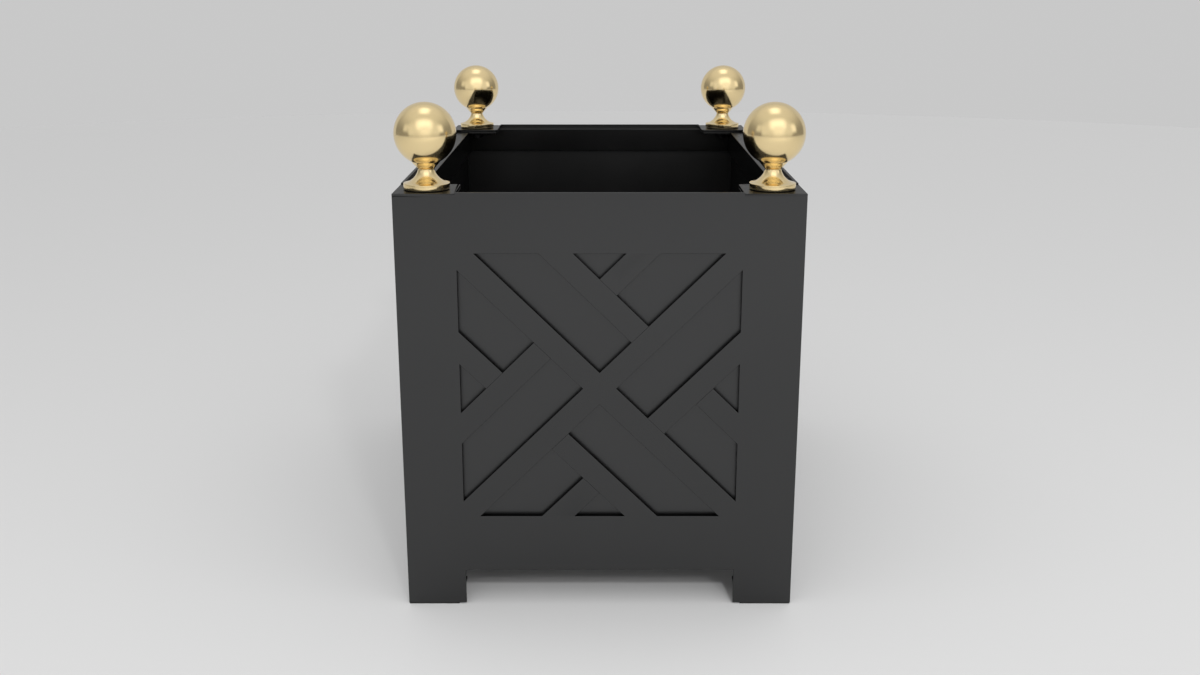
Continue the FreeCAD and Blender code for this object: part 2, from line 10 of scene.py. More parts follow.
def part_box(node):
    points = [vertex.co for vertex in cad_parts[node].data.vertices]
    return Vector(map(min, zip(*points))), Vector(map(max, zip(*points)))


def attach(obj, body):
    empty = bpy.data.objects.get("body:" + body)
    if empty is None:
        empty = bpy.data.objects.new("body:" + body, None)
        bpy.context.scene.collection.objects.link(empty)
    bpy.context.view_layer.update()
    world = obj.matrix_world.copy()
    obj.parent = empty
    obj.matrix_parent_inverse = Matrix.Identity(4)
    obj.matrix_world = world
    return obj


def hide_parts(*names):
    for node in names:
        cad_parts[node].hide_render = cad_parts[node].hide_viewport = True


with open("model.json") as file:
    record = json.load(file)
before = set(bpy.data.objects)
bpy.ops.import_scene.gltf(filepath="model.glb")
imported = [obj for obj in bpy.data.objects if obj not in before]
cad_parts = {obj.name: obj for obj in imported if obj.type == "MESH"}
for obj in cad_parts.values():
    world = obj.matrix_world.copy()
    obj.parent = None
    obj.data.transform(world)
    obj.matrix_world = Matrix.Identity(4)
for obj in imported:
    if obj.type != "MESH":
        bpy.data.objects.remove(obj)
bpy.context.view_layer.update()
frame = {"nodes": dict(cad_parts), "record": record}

# A Versailles planter in metres, +Z up, with its narrow front towards -Y: a charcoal box with
# flush fretwork, an open top with a hanging lip, corner plates and turned brass finials.
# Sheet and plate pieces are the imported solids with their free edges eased; turned pieces and
# fasteners are made here.

PLATE_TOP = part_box("front_left_corner_plate")[1].z

# finish sizes
SHEET_EASE = 0.0006         # radius of a ground sheet edge
PLATE_EASE = 0.0006         # and of a plate, an angle or a board
WASHER_EASE = 0.0002
PLATE_ROUND = 0.0010        # radius where a corner plate's top meets the outer faces
SEAM = 0.0003               # the fine groove left where one slat butts on another
PAD_SETBACK = 0.011         # how far a pad's inner edges stand back under its foot
CONTACT = 0.00004           # surfaces nearer than this touch
SAME_POINT = 0.000001       # points nearer than this are one
FLAT = math.radians(0.3)    # faces that meet at less than this are one flat face
CORNERED = math.radians(20) # an edge that turns more than this is eased

SIDES = ("front", "right", "back", "left")
CORNERS = ("front_left", "front_right", "back_right", "back_left")


# ---------------------------------------------------------------- shader node helpers

def wire(tree, pairs):
    for start, end in pairs:
        tree.links.new(start, end)


def add_node(tree, kind, **settings):
    node = tree.nodes.new(kind)
    for name, value in settings.items():
        setattr(node, name, value)
    return node


def new_material(name):
    material = bpy.data.materials.new(name)
    material.use_nodes = True
    shader = material.node_tree.nodes["Principled BSDF"]
    return material, material.node_tree, shader


def new_group(name, inputs, outputs):
    """An empty shader group; inputs and outputs are (name, socket type, default)."""
    group = bpy.data.node_groups.new(name, "ShaderNodeTree")
    for direction, sockets in (("INPUT", inputs), ("OUTPUT", outputs)):
        for socket_name, socket_type, default in sockets:
            socket = group.interface.new_socket(
                socket_name, in_out=direction, socket_type=socket_type)
            if default is not None:
                socket.default_value = default
    return group, group.nodes.new("NodeGroupInput"), group.nodes.new("NodeGroupOutput")


def make_sprayed_grain():
    """The skin of a sprayed coat: its fine orange-peel height, and a faint cloudiness."""
    group, given, result = new_group(
        "sprayed grain",
        [("Grain Scale", "NodeSocketFloat", 900.0), ("Cloud Scale", "NodeSocketFloat", 9.0)],
        [("Height", "NodeSocketFloat", None), ("Cloud", "NodeSocketFloat", None)],
    )
    place = add_node(group, "ShaderNodeTexCoord")
    grain = add_node(group, "ShaderNodeTexNoise")
    grain.inputs["Detail"].default_value = 2.0
    cloud = add_node(group, "ShaderNodeTexNoise")
    cloud.inputs["Detail"].default_value = 4.0
    cloud.inputs["Roughness"].default_value = 0.6
    wire(group, [
        (place.outputs["Object"], grain.inputs["Vector"]),
        (place.outputs["Object"], cloud.inputs["Vector"]),
        (given.outputs["Grain Scale"], grain.inputs["Scale"]),
        (given.outputs["Cloud Scale"], cloud.inputs["Scale"]),
        (grain.outputs["Fac"], result.inputs["Height"]),
        (cloud.outputs["Fac"], result.inputs["Cloud"]),
    ])
    return group


def make_hand_polish():
    """A polished surface: slow ripples left by the wheel and a film that varies a little."""
    group, given, result = new_group(
        "hand polish",
        [("Ripple Scale", "NodeSocketFloat", 60.0), ("Film Scale", "NodeSocketFloat", 35.0)],
        [("Height", "NodeSocketFloat", None), ("Film", "NodeSocketFloat", None)],
    )
    place = add_node(group, "ShaderNodeTexCoord")
    ripple = add_node(group, "ShaderNodeTexNoise")
    ripple.inputs["Detail"].default_value = 1.0
    film = add_node(group, "ShaderNodeTexNoise")
    film.inputs["Detail"].default_value = 6.0
    film.inputs["Roughness"].default_value = 0.65
    wire(group, [
        (place.outputs["Object"], ripple.inputs["Vector"]),
        (place.outputs["Object"], film.inputs["Vector"]),
        (given.outputs["Ripple Scale"], ripple.inputs["Scale"]),
        (given.outputs["Film Scale"], film.inputs["Scale"]),
        (ripple.outputs["Fac"], result.inputs["Height"]),
        (film.outputs["Fac"], result.inputs["Film"]),
    ])
    return group


def use_group(tree, group, **values):
    node = add_node(tree, "ShaderNodeGroup", node_tree=group)
    for name, value in values.items():
        node.inputs[name.replace("_", " ")].default_value = value
    return node


NOISE_RANGE = (0.3, 0.7)    # where nearly all of a noise lies


def spread(tree, source, low, high):
    """Maps a noise on to low to high."""
    ramp = add_node(tree, "ShaderNodeMapRange")
    ramp.inputs["From Min"].default_value, ramp.inputs["From Max"].default_value = NOISE_RANGE
    ramp.inputs["To Min"].default_value = low
    ramp.inputs["To Max"].default_value = high
    tree.links.new(source, ramp.inputs["Value"])
    return ramp.outputs["Result"]


def blend_colours(tree, mask, low, high):
    mix = add_node(tree, "ShaderNodeMix", data_type="RGBA")
    mix.inputs["A"].default_value = (*low, 1)
    mix.inputs["B"].default_value = (*high, 1)
    tree.links.new(mask, mix.inputs["Factor"])
    return mix.outputs["Result"]


def calculate(tree, operation, first, second):
    """A maths node; each input is a socket or a number."""
    node = add_node(tree, "ShaderNodeMath", operation=operation)
    for socket, value in zip(node.inputs, (first, second)):
        if isinstance(value, (int, float)):
            socket.default_value = value
        else:
            tree.links.new(value, socket)
    return node.outputs["Value"]


def relief(tree, height, distance, strength):
    bump = add_node(tree, "ShaderNodeBump")
    bump.inputs["Distance"].default_value = distance
    bump.inputs["Strength"].default_value = strength
    tree.links.new(height, bump.inputs["Height"])
    return bump.outputs["Normal"]


# ---------------------------------------------------------------- materials

GRAIN = make_sprayed_grain()
POLISH = make_hand_polish()


COAT_DEEP = (0.965, 0.97, 0.98)         # the coat's gloss in its deepest clouds
COAT_PALE = (1.02, 1.03, 1.04)          # and in its palest
COAT_AT_FLAT_ANGLES = (0.5, 0.5, 0.5)   # share of the full gloss that is left there


def make_coat(name, gloss, smoothest, roughest, grain_depth):
    """Charcoal powder coat: a dark metal-flake skin whose gloss stays low at flat angles."""
    material, tree, shader = new_material(name)
    grain = use_group(tree, GRAIN, Grain_Scale=700.0, Cloud_Scale=7.0)
    cloud = grain.outputs["Cloud"]
    deep = tuple(share * gloss for share in COAT_DEEP)
    pale = tuple(share * gloss for share in COAT_PALE)
    shader.inputs["Metallic"].default_value = 1.0
    shader.inputs["Specular Tint"].default_value = (*COAT_AT_FLAT_ANGLES, 1)
    wire(tree, [
        (blend_colours(tree, cloud, deep, pale), shader.inputs["Base Color"]),
        (spread(tree, cloud, smoothest, roughest), shader.inputs["Roughness"]),
        (relief(tree, grain.outputs["Height"], distance=grain_depth, strength=0.6),
         shader.inputs["Normal"]),
    ])
    return material


def make_brass():
    material, tree, shader = new_material("polished brass")
    polish = use_group(tree, POLISH, Ripple_Scale=45.0, Film_Scale=40.0)
    shader.inputs["Metallic"].default_value = 1.0
    film = polish.outputs["Film"]
    pale = (0.93, 0.75, 0.42)
    deep = (0.88, 0.69, 0.37)
    wire(tree, [
        (blend_colours(tree, film, pale, deep), shader.inputs["Base Color"]),
        (spread(tree, film, 0.13, 0.19), shader.inputs["Roughness"]),
        (relief(tree, polish.outputs["Height"], distance=0.00005, strength=0.4),
         shader.inputs["Normal"]),
    ])
    return material


def make_gasket_rubber():
    material, tree, shader = new_material("gasket rubber")
    grain = use_group(tree, GRAIN, Grain_Scale=1500.0, Cloud_Scale=60.0)
    cloud = grain.outputs["Cloud"]
    deep = (0.006, 0.006, 0.006)
    dusty = (0.012, 0.012, 0.012)
    wire(tree, [
        (spread(tree, cloud, 0.55, 0.8), shader.inputs["Roughness"]),
        (blend_colours(tree, cloud, deep, dusty), shader.inputs["Base Color"]),
        (relief(tree, grain.outputs["Height"], distance=0.00005, strength=0.5),
         shader.inputs["Normal"]),
    ])
    return material


def make_black_steel():
    """Black-coated steel of the fasteners."""
    material, tree, shader = new_material("black steel")
    polish = use_group(tree, POLISH, Ripple_Scale=300.0, Film_Scale=220.0)
    shader.inputs["Metallic"].default_value = 1.0
    film = polish.outputs["Film"]
    deep = (0.028, 0.028, 0.03)
    rubbed = (0.05, 0.05, 0.052)
    wire(tree, [
        (blend_colours(tree, film, deep, rubbed), shader.inputs["Base Color"]),
        (spread(tree, film, 0.32, 0.5), shader.inputs["Roughness"]),
        (relief(tree, polish.outputs["Height"], distance=0.00004, strength=0.5),
         shader.inputs["Normal"]),
    ])
    return material


COAT = make_coat(
    "powder coat", gloss=0.062, smoothest=0.22, roughest=0.26, grain_depth=0.000006)
BOARD = make_coat(
    "coated board", gloss=0.065, smoothest=0.33, roughest=0.38, grain_depth=0.00001)
BRASS = make_brass()
RUBBER = make_gasket_rubber()
BLACK_STEEL = make_black_steel()
MATERIALS = {
    "coat": COAT, "board": BOARD, "brass": BRASS, "gasket": RUBBER, "fastener": BLACK_STEEL}


# ---------------------------------------------------------------- mesh helpers

def solid_of(node):
    """A CAD node's shape with its points merged and its flat faces made whole again."""
    shape = bmesh.new()
    shape.from_mesh(frame["nodes"][node].data)
    bmesh.ops.remove_doubles(shape, verts=shape.verts, dist=SAME_POINT)
    bmesh.ops.dissolve_limit(
        shape, angle_limit=FLAT, verts=shape.verts, edges=shape.edges)
    return shape


def new_piece(name, shape, slot, replaces):
    """Makes a piece of a bmesh, in its material, in place of the CAD nodes it stands for."""
    mesh = bpy.data.meshes.new(name)
    for face in shape.faces:
        face.smooth = True
    shape.to_mesh(mesh)
    shape.free()
    piece = bpy.data.objects.new(name, mesh)
    bpy.context.scene.collection.objects.link(piece)
    mesh.materials.append(MATERIALS[slot])
    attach(piece, "root")
    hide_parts(*replaces)
    return piece


def split_at(shape, spots):
    """Adds a point to an edge wherever a neighbour's corner lies on it."""
    for spot in spots:
        for edge in list(shape.edges):
            start, end = (point.co for point in edge.verts)
            run = end - start
            share = (spot - start).dot(run) / run.length_squared
            on_line = (start + run * share - spot).length < CONTACT
            if on_line and CONTACT < share * run.length < run.length - CONTACT:
                bmesh.utils.edge_split(edge, edge.verts[0], share)


def touches(edge, surface):
    """True where a neighbour's surface lies against the middle stretch of an edge."""
    start, end = (point.co for point in edge.verts)
    return all(
        surface.find_nearest(start.lerp(end, share), CONTACT)[0] is not None
        for share in (0.3, 0.5, 0.7))


def eased(node, slot, ease, welded=(), butted=(), rounder=None, reshape=None):
    """A sheet or plate piece with its free edges eased.

    Edges against a welded neighbour stay sharp, because the weld is dressed flush. Edges
    against a butted neighbour keep a fine seam. rounder gives an edge's own radius, or None,
    and reshape changes the shape before it is eased.
    """
    shape = solid_of(node)
    if reshape:
        reshape(shape)
    widest = PLATE_ROUND if rounder else ease
    surfaces = []
    for neighbours, width in ((welded, 0.0), (butted, SEAM)):
        for neighbour in neighbours:
            other = solid_of(neighbour)
            split_at(shape, [point.co.copy() for point in other.verts])
            surfaces.append((BVHTree.FromBMesh(other), width))
            other.free()
    weight = shape.edges.layers.float.new("bevel_weight_edge")
    for edge in shape.edges:
        if len(edge.link_faces) != 2 or edge.calc_face_angle(0) < CORNERED:
            continue
        widths = [width for surface, width in surfaces if touches(edge, surface)]
        free = rounder and rounder(edge) or ease
        edge[weight] = min(widths, default=free) / widest
        edge.smooth = edge[weight] > 0
    piece = new_piece(node + "_finished", shape, slot, [node])
    easing = piece.modifiers.new("eased edges", "BEVEL")
    easing.limit_method = "WEIGHT"
    easing.width = widest
    easing.segments = 3
    easing.use_clamp_overlap = False
    shading = piece.modifiers.new("flat faces stay flat", "WEIGHTED_NORMAL")
    shading.mode = "FACE_AREA"
    shading.weight = 100
    shading.keep_sharp = True
    return piece


def arc(centre, radius, start, end, steps):
    """Points on an arc in the (radius, height) plane, from one angle in degrees to another."""
    points = []
    for step in range(steps + 1):
        angle = math.radians(start + (end - start) * step / steps)
        points.append((centre[0] + radius * math.cos(angle), centre[1] + radius * math.sin(angle)))
    return points


def rounded(profile, radius, steps=3):
    """Rounds each corner of a profile by radius, as far as its neighbours leave room."""
    points = [Vector(point) for point in profile]
    smooth = [points[0]]
    for before, corner, after in zip(points, points[1:], points[2:]):
        back, forth = before - corner, after - corner
        turn = math.pi - back.angle(forth)
        reach = min(radius * math.tan(turn / 2), back.length * 0.45, forth.length * 0.45)
        if math.degrees(turn) < 12:
            smooth.append(corner)
            continue
        first = corner + back.normalized() * reach
        last = corner + forth.normalized() * reach
        for step in range(steps + 1):
            share = step / steps
            smooth.append(first.lerp(corner, share).lerp(corner.lerp(last, share), share))
    smooth.append(points[-1])
    return smooth


def turned(profile, centre, steps):
    """A piece turned about an upright axis; the profile runs up its outside and down its bore."""
    shape = bmesh.new()
    rings = []
    for radius, height in profile:
        ring = []
        for step in range(steps):
            angle = math.tau * step / steps
            spot = (math.cos(angle) * radius, math.sin(angle) * radius, height)
            ring.append(shape.verts.new(centre + Vector(spot)))
        rings.append(ring)
    for low, high in zip(rings, rings[1:] + rings[:1]):
        for step in range(steps):
            following = (step + 1) % steps
            shape.faces.new((low[step], low[following], high[following], high[step]))
    bmesh.ops.remove_doubles(shape, verts=shape.verts, dist=SAME_POINT)
    bmesh.ops.recalc_face_normals(shape, faces=shape.faces)
    return shape


def keep_crisp(piece, degrees):
    piece.data.set_sharp_from_angle(angle=math.radians(degrees))


def islands(node):
    """The box of each separate solid of a CAD node, as (lowest corner, highest corner)."""
    shape = solid_of(node)
    waiting = set(shape.verts)
    boxes = []
    while waiting:
        reached = {waiting.pop()}
        edge_of_reach = list(reached)
        while edge_of_reach:
            point = edge_of_reach.pop()
            for edge in point.link_edges:
                other = edge.other_vert(point)
                if other in waiting:
                    waiting.discard(other)
                    reached.add(other)
                    edge_of_reach.append(other)
        low = Vector(min(point.co[axis] for point in reached) for axis in range(3))
        high = Vector(max(point.co[axis] for point in reached) for axis in range(3))
        boxes.append((low, high))
    shape.free()
    return boxes


# ---------------------------------------------------------------- sheet, slats and rim

def make_side(side):
    panel, cross = side + "_panel", side + "_cross"
    long_slats, short_slats = side + "_long_slats", side + "_short_slats"
    place = SIDES.index(side)
    beside = [SIDES[(place + step) % 4] + "_panel" for step in (1, 3)]
    plates = [corner + "_corner_plate" for corner in CORNERS if side in corner]
    eased(panel, "coat", SHEET_EASE, welded=[cross, long_slats, short_slats] + beside + plates)
    eased(cross, "coat", SHEET_EASE, welded=[panel], butted=[long_slats])
    eased(long_slats, "coat", SHEET_EASE, welded=[panel], butted=[cross, short_slats])
    eased(short_slats, "coat", SHEET_EASE, welded=[panel], butted=[long_slats])
    neighbours = [SIDES[(place + step) % 4] + "_rim_angle" for step in (1, 3)]
    gussets = [corner + "_rim_gusset" for corner in CORNERS if side in corner]
    eased(side + "_rim_angle", "coat", PLATE_EASE, welded=[panel] + neighbours + gussets)


def outer_top_edge(edge):
    """The radius of a corner plate's top edges over the outer faces of the sheets."""
    half_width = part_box("front_panel")[1].x
    half_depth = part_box("back_panel")[1].y
    for point in edge.verts:
        outer_x = abs(point.co.x) > half_width - CONTACT
        outer_y = abs(point.co.y) > half_depth - CONTACT
        if point.co.z < PLATE_TOP - CONTACT or not (outer_x or outer_y):
            return None
    return PLATE_ROUND


def make_corner(corner):
    sides = [side + "_panel" for side in SIDES if side in corner]
    eased(corner + "_corner_plate", "coat", PLATE_EASE, welded=sides, rounder=outer_top_edge)
    eased(corner + "_rim_gusset", "coat", PLATE_EASE)
    eased(corner + "_corner_angle", "coat", PLATE_EASE)


def draw_in(shape):
    """Draws the foot pads' inner edges back under the feet, where they stay out of sight."""
    low, high = islands("foot_pads")[0]
    for point in shape.verts:
        for axis in (0, 1):
            place = point.co[axis]
            if abs(place) < abs(low[axis] + high[axis]) / 2:
                point.co[axis] = place + math.copysign(PAD_SETBACK, place)


def make_hidden_plates():
    """The floor and what carries it, the feet's plates and pads, and the rim's washers."""
    for side in ("left", "right"):
        eased(side + "_floor_ledger", "coat", PLATE_EASE)
    eased("floor_bearers", "coat", PLATE_EASE)
    eased("foot_plates", "coat", PLATE_EASE)
    eased("foot_pads", "gasket", PLATE_EASE, reshape=draw_in)
    eased("floor_board", "board", PLATE_EASE)
    eased("finial_washers", "fastener", WASHER_EASE)


def dress_hidden_nodes():
    """CAD nodes that already have their final shape only get their finish."""
    slots = {entry["node"]: entry["material_slot"] for entry in frame["record"]["subparts"]}
    for name, node in frame["nodes"].items():
        node.data.materials.clear()
        node.data.materials.append(MATERIALS[slots[name]])


# ---------------------------------------------------------------- finials

BALL_STEPS = 96             # facets round a finial
BALL_ALLOWANCE = 1.0005     # makes up for what the facets cut off a ball
STUD = 0.005                # radius of the threaded stud
STUD_DEPTH = 0.017          # how far it enters the ball
BORE = 0.00525              # radius of a pedestal's bore
DISC_TOP = 0.0092           # the pedestal's heights are over the corner plate
DISC_EDGE = 0.0005          # flat that is left between the disc's side and its cove
COVE = 0.026                # radius of the hollow above the disc
NECK, NECK_HEIGHT = 0.0122, 0.0294
COLLAR = 0.001              # straight stretch of the neck
CUP = 0.0215                # radius of the cup under the ball
CUP_LIP = (0.0004, 0.0008)  # the bevel on the cup's lip, across and down
DISC_ROUND = 0.0004         # rounding of the disc's corners
GASKET_BORE = 0.0053
GASKET_ROUND = 0.4          # rounding of a gasket's rim, as a share of its thickness


def make_ball(corner):
    low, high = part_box(corner + "_finial_ball")
    centre = (low + high) / 2
    radius = (high.z - low.z) / 2 * BALL_ALLOWANCE
    socket = math.degrees(math.asin(STUD / radius))
    outside = arc((0, 0), radius, socket - 90, 90, BALL_STEPS // 2)
    outside[-1] = (0.0, radius)
    depth = STUD_DEPTH - radius
    profile = outside + [(0.0, depth), (STUD, depth)]
    ball = new_piece(corner + "_ball", turned(profile, centre, BALL_STEPS), "brass",
                     [corner + "_finial_ball"])
    keep_crisp(ball, 40)


def cove_between(disc_end, neck_foot):
    """The points of the hollow arc from the top of the disc up to the foot of the neck."""
    chord = neck_foot - disc_end
    outward = Vector((chord.y, -chord.x)).normalized()
    centre_distance = math.sqrt(COVE ** 2 - (chord.length / 2) ** 2)
    centre = (disc_end + neck_foot) / 2 + outward * centre_distance
    start = math.degrees(math.atan2(disc_end.y - centre.y, disc_end.x - centre.x))
    end = math.degrees(math.atan2(neck_foot.y - centre.y, neck_foot.x - centre.x))
    if end > 0:
        end -= 360
    return arc(centre, COVE, start, end, 16)


def make_pedestal(corner):
    """A thin disc, a cove up to the neck, a short collar, and a cone that cups the ball."""
    low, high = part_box(corner + "_finial_pedestal")
    centre = Vector(((low.x + high.x) / 2, (low.y + high.y) / 2, PLATE_TOP))
    ball_low, ball_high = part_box(corner + "_finial_ball")
    ball_height = (ball_low.z + ball_high.z) / 2 - PLATE_TOP
    ball = (ball_high.z - ball_low.z) / 2
    base = (high.x - low.x) / 2
    bottom = low.z - PLATE_TOP

    disc_end = Vector((base - DISC_EDGE, DISC_TOP + DISC_EDGE))
    neck_foot = Vector((NECK, NECK_HEIGHT))
    cove_points = cove_between(disc_end, neck_foot)
    cup_top = ball_height - math.sqrt(ball ** 2 - CUP ** 2)
    disc = rounded([(BORE, bottom), (base, bottom), (base, DISC_TOP), tuple(disc_end),
                    cove_points[1]], DISC_ROUND)
    neck_up = [(NECK, NECK_HEIGHT + COLLAR),
               (CUP - CUP_LIP[0], cup_top - CUP_LIP[1]), (CUP, cup_top)]
    cup_angle = math.degrees(math.acos(CUP / ball))
    bore_angle = math.degrees(math.acos(BORE / ball))
    cup = arc((0, ball_height), ball, -cup_angle, -bore_angle, 8)
    profile = [tuple(point) for point in disc[:-1]] + cove_points[1:] + neck_up + cup[1:]
    pedestal = new_piece(corner + "_pedestal", turned(profile, centre, BALL_STEPS), "brass",
                         [corner + "_finial_pedestal"])
    keep_crisp(pedestal, 28)


def make_gaskets():
    """One thin washer of rubber under each pedestal, with a rounded rim."""
    shape = bmesh.new()
    for low, high in islands("finial_gaskets"):
        centre = Vector(((low.x + high.x) / 2, (low.y + high.y) / 2, low.z))
        radius = (high.x - low.x) / 2
        thickness = high.z - low.z
        profile = rounded(
            [(GASKET_BORE, 0), (radius, 0), (radius, thickness), (GASKET_BORE, thickness)],
            thickness * GASKET_ROUND)
        ring = turned([tuple(point) for point in profile], centre, BALL_STEPS)
        mesh = bpy.data.meshes.new("gasket")
        ring.to_mesh(mesh)
        ring.free()
        shape.from_mesh(mesh)
        bpy.data.meshes.remove(mesh)
    gaskets = new_piece("rubber_gaskets", shape, "gasket", ["finial_gaskets"])
    keep_crisp(gaskets, 40)


# ---------------------------------------------------------------- fasteners

def new_tree(name, inputs):
    """A geometry tree that takes points with an "inward" direction, and named sizes."""
    tree = bpy.data.node_groups.new(name, "GeometryNodeTree")
    tree.interface.new_socket("Points", in_out="INPUT", socket_type="NodeSocketGeometry")
    for socket_name, socket_type in inputs:
        tree.interface.new_socket(socket_name, in_out="INPUT", socket_type=socket_type)
    tree.interface.new_socket("Fasteners", in_out="OUTPUT", socket_type="NodeSocketGeometry")
    return tree, add_node(tree, "NodeGroupInput"), add_node(tree, "NodeGroupOutput")


def upright(tree, height):
    """A vector of this height."""
    vector = add_node(tree, "ShaderNodeCombineXYZ")
    tree.links.new(height, vector.inputs["Z"])
    return vector.outputs["Vector"]


def bar(tree, sides, radius, length, middle):
    """A round or many-sided bar along Z, about a middle height."""
    stock = add_node(tree, "GeometryNodeMeshCylinder")
    stock.inputs["Vertices"].default_value = sides
    moved = add_node(tree, "GeometryNodeTransform")
    wire(tree, [
        (radius, stock.inputs["Radius"]),
        (length, stock.inputs["Depth"]),
        (stock.outputs["Mesh"], moved.inputs["Geometry"]),
        (upright(tree, middle), moved.inputs["Translation"]),
    ])
    return moved.outputs["Geometry"]


def barrel(tree, bottom, top, radius, loss, power):
    """A bar turned along Z, whose radius falls off by loss towards its top.

    A low power starts the fall early, and a high one keeps it near the top.
    """
    axis = add_node(tree, "GeometryNodeCurvePrimitiveLine")
    steps = add_node(tree, "GeometryNodeResampleCurve")
    steps.inputs["Count"].default_value = 9
    along = add_node(tree, "GeometryNodeSplineParameter")
    share = calculate(tree, "POWER", along.outputs["Factor"], power)
    fall = calculate(tree, "MULTIPLY", share, loss)
    left = calculate(tree, "SQRT", calculate(tree, "SUBTRACT", 1.0, fall), 0.0)
    circle = add_node(tree, "GeometryNodeCurvePrimitiveCircle")
    circle.inputs["Resolution"].default_value = 24
    circle.inputs["Radius"].default_value = 1.0
    skin = add_node(tree, "GeometryNodeCurveToMesh")
    skin.inputs["Fill Caps"].default_value = True
    wire(tree, [
        (upright(tree, bottom), axis.inputs["Start"]),
        (upright(tree, top), axis.inputs["End"]),
        (axis.outputs["Curve"], steps.inputs["Curve"]),
        (steps.outputs["Curve"], skin.inputs["Curve"]),
        (circle.outputs["Curve"], skin.inputs["Profile Curve"]),
        (calculate(tree, "MULTIPLY", left, radius), skin.inputs["Scale"]),
    ])
    return skin.outputs["Mesh"]


def shaped(tree, operation, base, tool):
    """One bar cut by another, or the part that they share."""
    work = add_node(tree, "GeometryNodeMeshBoolean", operation=operation, solver="EXACT")
    if operation == "DIFFERENCE":
        tree.links.new(base, work.inputs["Mesh 1"])
        tree.links.new(tool, work.inputs["Mesh 2"])
    else:
        tree.links.new(base, work.inputs["Mesh 2"])
        tree.links.new(tool, work.inputs["Mesh 2"])
    return work.outputs["Mesh"]


def put_on_points(tree, given, result, fastener, material):
    """Stands a copy of the fastener on each point, along its inward direction."""
    direction = add_node(tree, "GeometryNodeInputNamedAttribute", data_type="FLOAT_VECTOR")
    direction.inputs["Name"].default_value = "inward"
    turn = add_node(tree, "FunctionNodeAlignRotationToVector", axis="Z")
    copies = add_node(tree, "GeometryNodeInstanceOnPoints")
    real = add_node(tree, "GeometryNodeRealizeInstances")
    finish = add_node(tree, "GeometryNodeSetMaterial")
    finish.inputs["Material"].default_value = material
    wire(tree, [
        (given.outputs["Points"], copies.inputs["Points"]),
        (fastener, copies.inputs["Instance"]),
        (direction.outputs["Attribute"], turn.inputs["Vector"]),
        (turn.outputs["Rotation"], copies.inputs["Rotation"]),
        (copies.outputs["Instances"], real.inputs["Geometry"]),
        (real.outputs["Geometry"], finish.inputs["Geometry"]),
        (finish.outputs["Geometry"], result.inputs["Fasteners"]),
    ])


def screw_tree():
    """A pan-head screw with a hexagon socket, its tip on the point."""
    tree, given, result = new_tree("screws on points", [
        ("Length", "NodeSocketFloat"), ("Shank Radius", "NodeSocketFloat"),
        ("Head Radius", "NodeSocketFloat"), ("Head Height", "NodeSocketFloat"),
        ("Socket Radius", "NodeSocketFloat"), ("Socket Depth", "NodeSocketFloat"),
    ])
    length = given.outputs["Length"]
    top = calculate(tree, "ADD", length, given.outputs["Head Height"])
    head = barrel(tree, length, top, given.outputs["Head Radius"], loss=0.6, power=3.0)
    double_depth = calculate(tree, "MULTIPLY", given.outputs["Socket Depth"], 2.0)
    socket = bar(tree, 6, given.outputs["Socket Radius"], double_depth, top)
    shank = bar(tree, 16, given.outputs["Shank Radius"], length,
                calculate(tree, "MULTIPLY", length, 0.5))
    whole = add_node(tree, "GeometryNodeJoinGeometry")
    tree.links.new(shaped(tree, "DIFFERENCE", head, socket), whole.inputs["Geometry"])
    tree.links.new(shank, whole.inputs["Geometry"])
    put_on_points(tree, given, result, whole.outputs["Geometry"], BLACK_STEEL)
    return tree


def nut_tree():
    """A hexagon nut with turned corners, its underside on the point."""
    tree, given, result = new_tree("nuts on points", [
        ("Across Corners", "NodeSocketFloat"), ("Height", "NodeSocketFloat"),
        ("Bore Radius", "NodeSocketFloat"),
    ])
    height = given.outputs["Height"]
    middle = calculate(tree, "MULTIPLY", height, 0.5)
    corner = calculate(tree, "MULTIPLY", given.outputs["Across Corners"], 0.5)
    hexagon = bar(tree, 6, corner, height, middle)
    chamfer_bottom = calculate(tree, "MULTIPLY", height, -0.01)
    chamfer_top = calculate(tree, "MULTIPLY", height, 1.01)
    chamfer_radius = calculate(tree, "MULTIPLY", corner, 1.02)
    chamfer = barrel(tree, chamfer_bottom, chamfer_top, chamfer_radius, loss=0.3, power=7.0)
    bore_length = calculate(tree, "MULTIPLY", height, 1.2)
    bore = bar(tree, 24, given.outputs["Bore Radius"], bore_length, middle)
    nut = shaped(tree, "DIFFERENCE", shaped(tree, "INTERSECT", hexagon, chamfer), bore)
    put_on_points(tree, given, result, nut, BLACK_STEEL)
    return tree


def grow(name, node, points, tree, sizes):
    """Runs a tree on points, given as (place, inward direction), and keeps the plain mesh."""
    mesh = bpy.data.meshes.new(name + " points")
    mesh.from_pydata([place for place, _ in points], [], [])
    inward = mesh.attributes.new("inward", "FLOAT_VECTOR", "POINT")
    for slot, (_, direction) in zip(inward.data, points):
        slot.vector = direction
    holder = bpy.data.objects.new(name + " points", mesh)
    bpy.context.scene.collection.objects.link(holder)
    modifier = holder.modifiers.new("fasteners", "NODES")
    modifier.node_group = tree
    for item in tree.interface.items_tree:
        if item.in_out == "INPUT" and item.name in sizes:
            modifier[item.identifier] = sizes[item.name]
    evaluated = holder.evaluated_get(bpy.context.evaluated_depsgraph_get())
    grown = bpy.data.meshes.new_from_object(evaluated)
    bpy.data.objects.remove(holder)
    shape = bmesh.new()
    shape.from_mesh(grown)
    bpy.data.meshes.remove(grown)
    bmesh.ops.remove_doubles(shape, verts=shape.verts, dist=SAME_POINT)
    keep_crisp(new_piece(name, shape, "fastener", [node]), 35)


